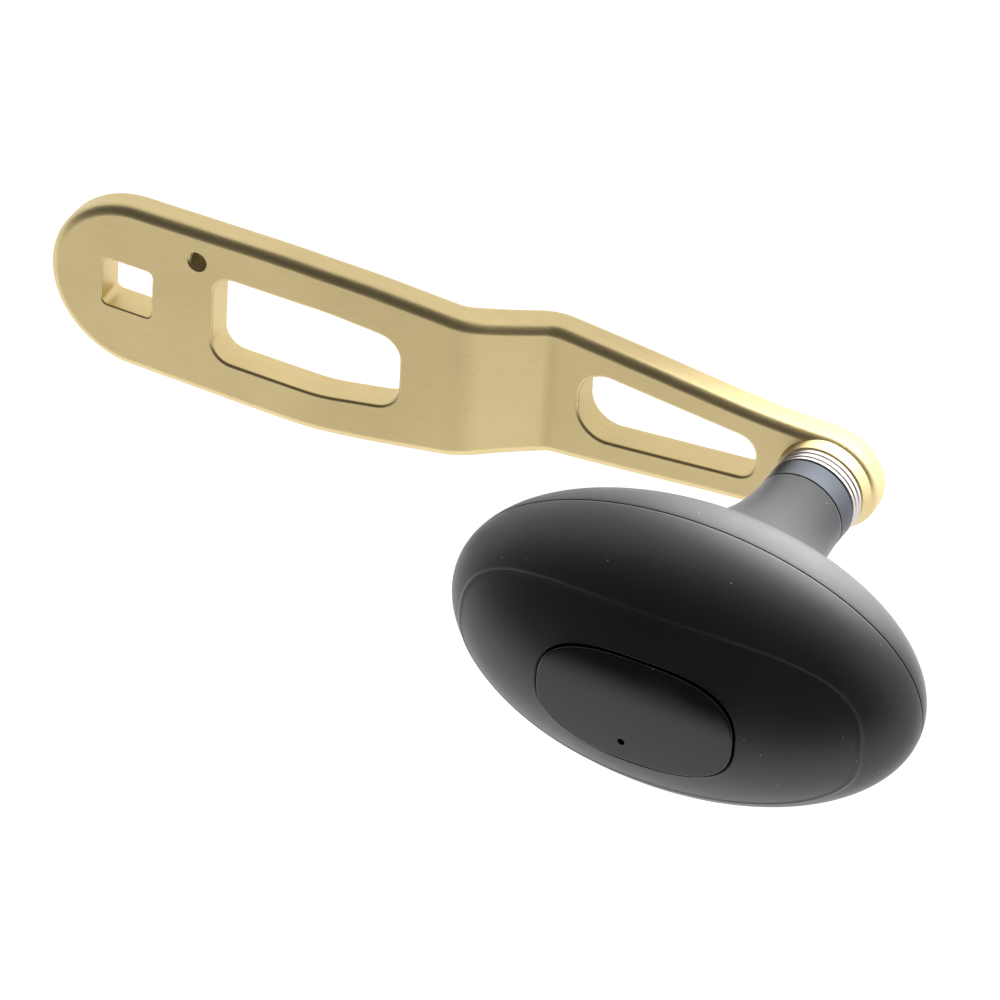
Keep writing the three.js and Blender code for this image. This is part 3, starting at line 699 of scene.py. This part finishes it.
# Three turned washers, each drawn in by a hairline at its two faces, and the seal's ring above them.
def buildRings():
    gap = ringShape["washerGap"]
    for washer in ("thrust_washer_arm", "thrust_washer_middle", "thrust_washer_knob"):
        low, high = nodeHeights(washer)
        grid = ringGrid(ringShape["washerBore"], ringShape["washerRadius"], low + gap, high - gap,
                        ringShape["washerEdge"])
        settle(makePiece(washer + "_ground", brightSteel, [grid]), "thrust_washers", "bright_steel", washer)
    low, high = nodeHeights("neck_seal")
    grid = ringGrid(ringShape["sealBore"], ringShape["sealRadius"], low, high, ringShape["sealEdge"])
    settle(makePiece("neck_seal_ring", sealRubber, [grid]), "knob", "black_seal", "neck_seal")


collarShape = {  # mm
    "radius": 6.15, "bore": 5.05, "lip": 4.65, "lipHeight": 0.25, "skirtBore": 5.75,
    "skirt": 0.33, "rise": 0.13,
    "edge": 0.12, "edgeEnd": 0.28, "topEdge": 0.08, "topEdgeEnd": 0.15,  # rounded edges, and where each ends
    "marks": 9, "markDepth": 0.02, "marksFrom": 0.3, "marksTo": 0.2,
}


# Collar: its outside radius dips by a small cosine for each turning mark, and a skirt hangs round the seal.
def buildCollar():
    low, high = nodeHeights("neck_collar")
    foot, top = low - collarShape["skirt"], high + collarShape["rise"]
    radius, lip, bore = collarShape["radius"], collarShape["lip"], collarShape["bore"]
    shelf = low + collarShape["lipHeight"]
    outside = np.linspace(foot + collarShape["marksFrom"], top - collarShape["marksTo"], 120)
    turns = (outside - foot) / (top - foot) * 2 * np.pi * collarShape["marks"]
    wave = collarShape["markDepth"] * (0.5 - 0.5 * np.cos(turns))
    lower = roundCorners([(lip, low), (collarShape["skirtBore"], low), (collarShape["skirtBore"], foot),
                          (radius, foot, collarShape["edge"]), (radius, foot + collarShape["edgeEnd"])],
                         closed=False, steps=8)
    upper = roundCorners([(radius, top - collarShape["topEdgeEnd"]), (radius, top, collarShape["topEdge"]),
                          (bore, top), (bore, shelf), (lip, shelf), (lip, low)], closed=False, steps=5)
    profile = np.vstack([lower, np.stack([radius - wave, outside], -1), upper])
    collar = makePiece("turned_collar", darkMetal, [turnedGrid(profile)])
    settle(collar, "knob", "dark_turned_metal", "neck_collar")


buildRings()
buildCollar()
print("washers, seal and collar made")


knobShape = {  # mm
    "middleZ": 31.15, "half": np.array([32.4, 19.1, 16.7]), "wall": 3.0,
    "neck": 6.15, "neckBore": 5.65, "neckEdge": 0.12, "startZ": -0.8, "flareZ": 8, "flareOut": 0.2,
    "join": (17.0, 13.0), "pull": (8.0, 5.0), "seamZ": 30.2, "seamGap": 0.1, "lip": 0.09,
    "rearLip": [(0.25, 1.0), (0.3, 0.3), (1.0, 0.0)],  # shares of the lip a row goes in and down
    # a row goes in by lip / first along x and lip / second along y, and up by the third's share of the lip
    "frontLip": [(40, 40, 0.9), (34, 24, 0.3), (16, 10, 0.0)],
    "ridgeHalf": (28.0, 12.9), "ridgePower": 2.55, "ridgeHeight": 0.13, "ridgeWidth": 0.36,
    "openingHalf": (13.9, 8.1), "openingPower": 2.6, "openingEdge": 0.18, "openingClear": 1.05,
    "padSpacing": 0.8, "sideSpacing": 1.25,  # powers that crowd the rows at the ridge
}


# One side line of the rear half: a cubic from the neck that meets the oval on its tangent, then the oval
# itself, radius = half sin a and height = middle - rise cos a. The axis is 0 along the knob and 1 across
# it.
def rearLine(axis, inset, neckRadius, flareSteps, ovalSteps):
    half, rise = knobShape["half"][axis] - inset, knobShape["half"][2] - inset
    joinAngle = math.asin(knobShape["join"][axis] / knobShape["half"][axis])
    onOval = lambda a: np.stack([half * np.sin(a), knobShape["middleZ"] - rise * np.cos(a)], -1)
    tangent = np.array([half * math.cos(joinAngle), rise * math.sin(joinAngle)])
    tangent /= np.linalg.norm(tangent)
    end = onOval(np.array(joinAngle))
    upNeck = np.array([neckRadius + knobShape["flareOut"], knobShape["flareZ"] + inset])
    neckStart = np.array([neckRadius, knobShape["startZ"]])
    control = [neckStart, upNeck, end - tangent * knobShape["pull"][axis], end]
    t = np.linspace(0, 1, flareSteps, endpoint=False)[:, None]
    flare = ((1 - t) ** 3 * control[0] + 3 * (1 - t) ** 2 * t * control[1]
             + 3 * (1 - t) * t ** 2 * control[2] + t ** 3 * control[3])
    lastAngle = math.acos((knobShape["middleZ"] - knobShape["seamZ"]) / rise)
    return np.vstack([flare, onOval(np.linspace(joinAngle, lastAngle, ovalSteps))])


# Rings round the axle between the two side lines: at angle q a ring stands at (x cos q, y sin q),
# at the height x-line cos^2 q + y-line sin^2 q.
def ovalGrid(alongLine, acrossLine, segments):
    q = np.linspace(0, 2 * np.pi, segments, endpoint=False)
    cosine, sine = np.cos(q), np.sin(q)
    return np.stack([knobX + alongLine[:, 0:1] * cosine, acrossLine[:, 0:1] * sine,
                     alongLine[:, 1:2] * cosine ** 2 + acrossLine[:, 1:2] * sine ** 2], -1)


# Rear half: each side line goes up the neck and the oval, over the lip at the seam, and back down inside
# the wall.
def buildRearGrip(segments=320, outsideSteps=(56, 34), insideSteps=(14, 10)):
    neck, edge, start = knobShape["neck"], knobShape["neckEdge"], knobShape["startZ"]
    lines = []
    for axis in (0, 1):
        outside = rearLine(axis, 0, neck, *outsideSteps)
        outside[0] = (neck - edge, start)
        outside = np.insert(outside, 1, (neck, start + edge), axis=0)
        lips = outside[-1] - np.array(knobShape["rearLip"]) * knobShape["lip"]
        inside = rearLine(axis, knobShape["wall"], knobShape["neckBore"], *insideSteps)[::-1]
        lines.append(np.vstack([outside[:-1], lips, inside, outside[:1]]))
    rear = makePiece("soft_grip_rear", softTouch, [ovalGrid(lines[0], lines[1], segments)])
    settle(rear, "knob", "soft_touch_grip", "grip_rear")


# Oval with bowed sides: x = a |cos q|^(2/power), y = b |sin q|^(2/power), each with the sign of its cosine
# or sine, then spaced evenly along its edge.
def bowedOval(half, power, count):
    q = np.linspace(0, 2 * np.pi, 4000, endpoint=False)
    cosine, sine = np.cos(q), np.sin(q)
    return evenLoop(np.stack([half[0] * np.sign(cosine) * np.abs(cosine) ** (2 / power),
                              half[1] * np.sign(sine) * np.abs(sine) ** (2 / power)], -1), count)


# Height of the oval's upper side over a plan point: middle + rise * sqrt(1 - (x / a)^2 - (y / b)^2).
def ovalTopZ(plan, inset):
    half = knobShape["half"] - inset
    share = 1 - (plan[..., 0] / half[0]) ** 2 - (plan[..., 1] / half[1]) ** 2
    return knobShape["middleZ"] + half[2] * np.sqrt(np.clip(share, 0, 1))


# Points past the equator: direction psi held, polar angle growing, so radius = half sin, height = rise cos.
def ovalBand(psi, polar, inset):
    half = knobShape["half"] - inset
    return np.stack([half[0] * np.sin(polar) * np.cos(psi), half[1] * np.sin(polar) * np.sin(psi),
                     knobShape["middleZ"] + half[2] * np.cos(polar)], -1)


# Front half: rows run from the cap's opening to the pad ridge, over it, and down past the equator to the
# seam, then back inside the wall. Along the ridge the surface stands proud by height * exp(-(distance /
# width)^2).
def buildFrontGrip(segments=480, padRows=56, sideRows=66, insideRows=10, rimRows=6):
    opening = bowedOval(knobShape["openingHalf"], knobShape["openingPower"], segments)
    ridge = bowedOval(knobShape["ridgeHalf"], knobShape["ridgePower"], segments)
    toRidge = np.linspace(0, 1, padRows) ** knobShape["padSpacing"]
    plan = opening[None] * (1 - toRidge[:, None, None]) + ridge[None] * toRidge[:, None, None]
    inner = np.dstack([plan, ovalTopZ(plan, 0)])
    half = knobShape["half"]
    psi = np.arctan2(ridge[:, 1] / half[1], ridge[:, 0] / half[0])
    ridgePolar = np.arcsin(np.hypot(ridge[:, 0] / half[0], ridge[:, 1] / half[1]))
    seam = knobShape["seamZ"] + knobShape["seamGap"]
    seamPolar = math.acos((seam - knobShape["middleZ"]) / half[2])
    t = (np.linspace(0, 1, sideRows)[1:] ** knobShape["sideSpacing"])[:, None]
    outer = ovalBand(psi[None], ridgePolar[None] * (1 - t) + seamPolar * t, 0)
    skin = np.concatenate([inner, outer])
    away = np.linalg.norm(skin - inner[-1][None], axis=2)
    normal = (skin - (0, 0, knobShape["middleZ"])) / half ** 2
    normal /= np.linalg.norm(normal, axis=2)[..., None]
    swelling = knobShape["ridgeHeight"] * np.exp(-(away / knobShape["ridgeWidth"]) ** 2)
    skin = skin + normal * swelling[..., None]
    lip = knobShape["lip"]
    drawn = [(1 - lip / along, 1 - lip / across, 1) for along, across, _ in knobShape["frontLip"]]
    raised = [(0, 0, lip * share) for _, _, share in knobShape["frontLip"]]
    skin[-1] = skin[-1] * drawn[0] + raised[0]
    seamRing = ovalBand(psi, np.full(segments, seamPolar), 0)[None]
    lips = [seamRing * drawn[1] + raised[1], seamRing * drawn[2] + raised[2]]
    wall = knobShape["wall"]
    insideSeam = math.acos((seam - knobShape["middleZ"]) / (half[2] - wall))
    share = np.linspace(0, 1, insideRows)[:, None]
    onWall = opening / (half[:2] - wall)
    insidePolar = np.arcsin(np.hypot(onWall[:, 0], onWall[:, 1]))
    wallPsi = np.arctan2(onWall[:, 1], onWall[:, 0])
    turn = np.unwrap(np.stack([psi, wallPsi]), axis=0)
    inside = ovalBand(turn[0][None] * (1 - share) + turn[1][None] * share,
                      insideSeam * (1 - share) + insidePolar[None] * share, wall)
    edge = knobShape["openingEdge"]
    rimAngle = np.linspace(0, np.pi / 2, rimRows)[:, None, None]
    outward = -inwardNormals(opening)[None]
    rimPlan = opening[None] + outward * edge * (1 - np.cos(rimAngle))
    rimZ = ovalTopZ(opening, 0)[None] - edge * (1 - np.sin(rimAngle[..., 0]))
    rim = np.dstack([rimPlan, rimZ])
    away = np.linalg.norm(skin[:, :, :2] - opening[None], axis=2)
    keep = skin[away.min(axis=1) > edge * knobShape["openingClear"]]
    grid = np.concatenate([rim, keep, *lips, inside, rim[:1]]) + (knobX, 0, 0)
    front = makePiece("soft_grip_front", softTouch, [grid])
    settle(front, "knob", "soft_touch_grip", "grip_front")


buildRearGrip()
buildFrontGrip()
print("grip halves made")


capShape = {  # mm
    "half": (13.68, 7.88), "power": 2.6, "dome": np.array([24.0, 13.8, 2.6]), "top": 47.05, "floor": 43.9,
    "edge": 0.2, "sharpAngle": 40,
    "pin": (-1.3, -5.0), "pinRadius": 0.5, "pinDepth": 1.6, "pinPoint": 0.4, "pinTipShare": 0.8,
}


# Height of the cap's dome over a plan point: top - rise * (1 - sqrt(1 - (x / a)^2 - (y / b)^2)).
def capZ(plan):
    dome = capShape["dome"]
    share = 1 - (plan[..., 0] / dome[0]) ** 2 - (plan[..., 1] / dome[1]) ** 2
    return capShape["top"] - dome[2] * (1 - np.sqrt(share))


# Cap: the bowed outline shrunk row by row to its middle, at the dome's height, with a rounded rim and a
# straight skirt. A turned cutter takes the pin hole out of it.
def buildCap(segments=288, topRows=40, rimRows=7):
    outline = bowedOval(capShape["half"], capShape["power"], segments)
    edge = capShape["edge"]
    outward = -inwardNormals(outline)
    topPlan = outline - outward * edge
    share = np.linspace(0, 1, topRows)[:, None, None]
    plan = topPlan[None] * share
    top = np.dstack([plan, capZ(plan)])
    angle = np.linspace(0, np.pi / 2, rimRows)[1:, None, None]
    rimPlan = topPlan[None] + outward[None] * edge * np.sin(angle)
    rim = np.dstack([rimPlan, (capZ(topPlan)[None] - edge * (1 - np.cos(angle[..., 0])))])
    skirt = np.dstack([outline[None], np.full((1, segments), capShape["floor"])])
    under = np.dstack([outline[None] * 0, np.full((1, segments), capShape["floor"])])
    cap = makePiece("gloss_cap", glossBlack, [np.concatenate([top, rim, skirt, under]) + (knobX, 0, 0)])
    radius, floor = capShape["pinRadius"], capShape["top"] - capShape["pinDepth"]
    tip, above = floor - capShape["pinPoint"], capShape["top"] + 1
    profile = np.array([(0, tip), (radius * capShape["pinTipShare"], tip), (radius, floor), (radius, above),
                        (0, above)])
    cutter = makePiece("pin_cutter", glossBlack,
                       [turnedGrid(profile, 40, (knobX + capShape["pin"][0], capShape["pin"][1]))])
    cutter.modifiers.clear()
    cap.modifiers.clear()  # the shading waits until the hole is cut
    cut = cap.modifiers.new("pin hole", "BOOLEAN")
    cut.object, cut.solver = cutter, "EXACT"
    bored = bpy.data.meshes.new_from_object(cap.evaluated_get(bpy.context.evaluated_depsgraph_get()))
    cap.modifiers.clear()
    cap.data = bored
    bored.set_sharp_from_angle(angle=math.radians(capShape["sharpAngle"]))
    cap.modifiers.new("even shading", "WEIGHTED_NORMAL").keep_sharp = True
    bpy.data.objects.remove(cutter)
    settle(cap, "knob", "gloss_black_cap", "end_cap")


buildCap()
print("cap made")


insideLooks = {
    "gold_anodised_aluminium": gold, "bright_steel": brightSteel, "bearing_steel": bearingSteel,
    "brass_cage": cageBrass, "dark_turned_metal": darkMetal, "black_seal": sealRubber,
    "rigid_nylon_core": coreNylon, "soft_touch_grip": softTouch, "gloss_black_cap": glossBlack,
}
for part in frame["record"]["subparts"]:
    for place in frame["nodes"][part["node"]].material_slots:
        place.material = insideLooks[part["material_slot"]]
print("inside parts given their materials")


studio = {  # metres
    "floorSize": 6.0, "floorGap": 0.0001, "floorGrey": 0.35, "floorRoughness": 0.9, "floorGlow": 1.0,
    "poolGlow": 10.0, "poolPlace": (0.112, 0.050), "poolReach": 0.06,  # metres, beside the knob's neck
    "white": 1.8, "dark": 0.13, "edgeNormal": (0.0, -0.857, -0.515), "edgeSoft": (-0.01, 0.14),
}


# A glowing white card under the object, whose glow falls smoothly from the pool's to the floor's over the
# pool's reach, and surroundings that are white on the edge normal's side and dark on the other.
def buildStudio():
    height = cadBox[0].z - studio["floorGap"]  # just under the arm's flat back, never in its plane
    reach = studio["floorSize"] / 2
    mesh = bpy.data.meshes.new("floor")
    mesh.from_pydata([(-reach, -reach, height), (reach, -reach, height), (reach, reach, height),
                      (-reach, reach, height)], [], [(0, 1, 2, 3)])
    material, tree = newMaterial("white_table")
    nodes, links = tree.nodes, tree.links
    card = nodes.new("ShaderNodeBsdfPrincipled")
    card.label = "back-lit white card"
    card.inputs["Base Color"].default_value = (*[studio["floorGrey"]] * 3, 1)
    card.inputs["Roughness"].default_value = studio["floorRoughness"]
    card.inputs["Emission Color"].default_value = (1, 1, 1, 1)
    place = nodes.new("ShaderNodeTexCoord")
    place.label = "place on the table"
    fromPool = nodes.new("ShaderNodeVectorMath")
    fromPool.label = "distance from the pool of light"
    fromPool.operation = "DISTANCE"
    fromPool.inputs[1].default_value = (*studio["poolPlace"], height)
    glow = nodes.new("ShaderNodeMapRange")
    glow.label = "brighter beside the knob's neck"
    glow.interpolation_type = "SMOOTHSTEP"
    glow.inputs["From Max"].default_value = studio["poolReach"]
    glow.inputs["To Min"].default_value = studio["poolGlow"]
    glow.inputs["To Max"].default_value = studio["floorGlow"]
    output = nodes.new("ShaderNodeOutputMaterial")
    pool = nodes.new("NodeFrame")
    pool.label = "pool of light"
    for node in (place, fromPool, glow):
        node.parent = pool
    placeNodes([(place,), (fromPool,), (glow,), (card,), (output,)])
    links.new(place.outputs["Object"], fromPool.inputs[0])
    links.new(fromPool.outputs["Value"], glow.inputs["Value"])
    links.new(glow.outputs["Result"], card.inputs["Emission Strength"])
    links.new(card.outputs["BSDF"], output.inputs["Surface"])
    mesh.materials.append(material)
    floor = bpy.data.objects.new("floor", mesh)
    bpy.context.scene.collection.objects.link(floor)

    world = bpy.data.worlds.new("studio")
    bpy.context.scene.world = world
    world.use_nodes = True
    tree = world.node_tree
    tree.nodes.clear()
    nodes, links = tree.nodes, tree.links
    direction = nodes.new("ShaderNodeTexCoord")
    direction.label = "direction looked in"
    side = nodes.new("ShaderNodeVectorMath")
    side.label = "which side of the screen's edge"
    side.operation = "DOT_PRODUCT"
    side.inputs[1].default_value = studio["edgeNormal"]
    blend = nodes.new("ShaderNodeMapRange")
    blend.label = "soft edge of the white screen"
    blend.interpolation_type = "SMOOTHSTEP"
    blend.inputs["From Min"].default_value = studio["edgeSoft"][0]
    blend.inputs["From Max"].default_value = studio["edgeSoft"][1]
    blend.inputs["To Min"].default_value = studio["dark"]
    blend.inputs["To Max"].default_value = studio["white"]
    sky = nodes.new("ShaderNodeBackground")
    sky.label = "studio surroundings"
    output = nodes.new("ShaderNodeOutputWorld")
    screen = nodes.new("NodeFrame")
    screen.label = "white screen to one side"
    for node in (direction, side, blend):
        node.parent = screen
    placeNodes([(direction,), (side,), (blend,), (sky,), (output,)])
    links.new(direction.outputs["Generated"], side.inputs[0])
    links.new(side.outputs["Value"], blend.inputs["Value"])
    links.new(blend.outputs["Result"], sky.inputs["Strength"])
    links.new(sky.outputs["Background"], output.inputs["Surface"])


cameraSetup = {
    "place": (0.514198, 0.800859, 0.972863), "right": (0.888772, 0.044709, -0.456165),
    "up": (-0.307597, 0.796015, -0.521291), "lens": 372.591, "sensor": 36.0, "clip": (0.05, 20),
}


# The camera's axes are right, up and their cross product, which points back from the object to the camera.
def buildCamera():
    data = bpy.data.cameras.new("camera")
    data.lens, data.sensor_width = cameraSetup["lens"], cameraSetup["sensor"]
    data.clip_start, data.clip_end = cameraSetup["clip"]
    camera = bpy.data.objects.new("camera", data)
    right, up = Vector(cameraSetup["right"]).normalized(), Vector(cameraSetup["up"]).normalized()
    back = right.cross(up)
    camera.matrix_world = Matrix((right, up, back)).transposed().to_4x4()
    camera.location = cameraSetup["place"]
    bpy.context.scene.collection.objects.link(camera)
    bpy.context.scene.camera = camera


buildStudio()
buildCamera()
bpy.context.scene.view_settings.view_transform = "Standard"
print("studio made")
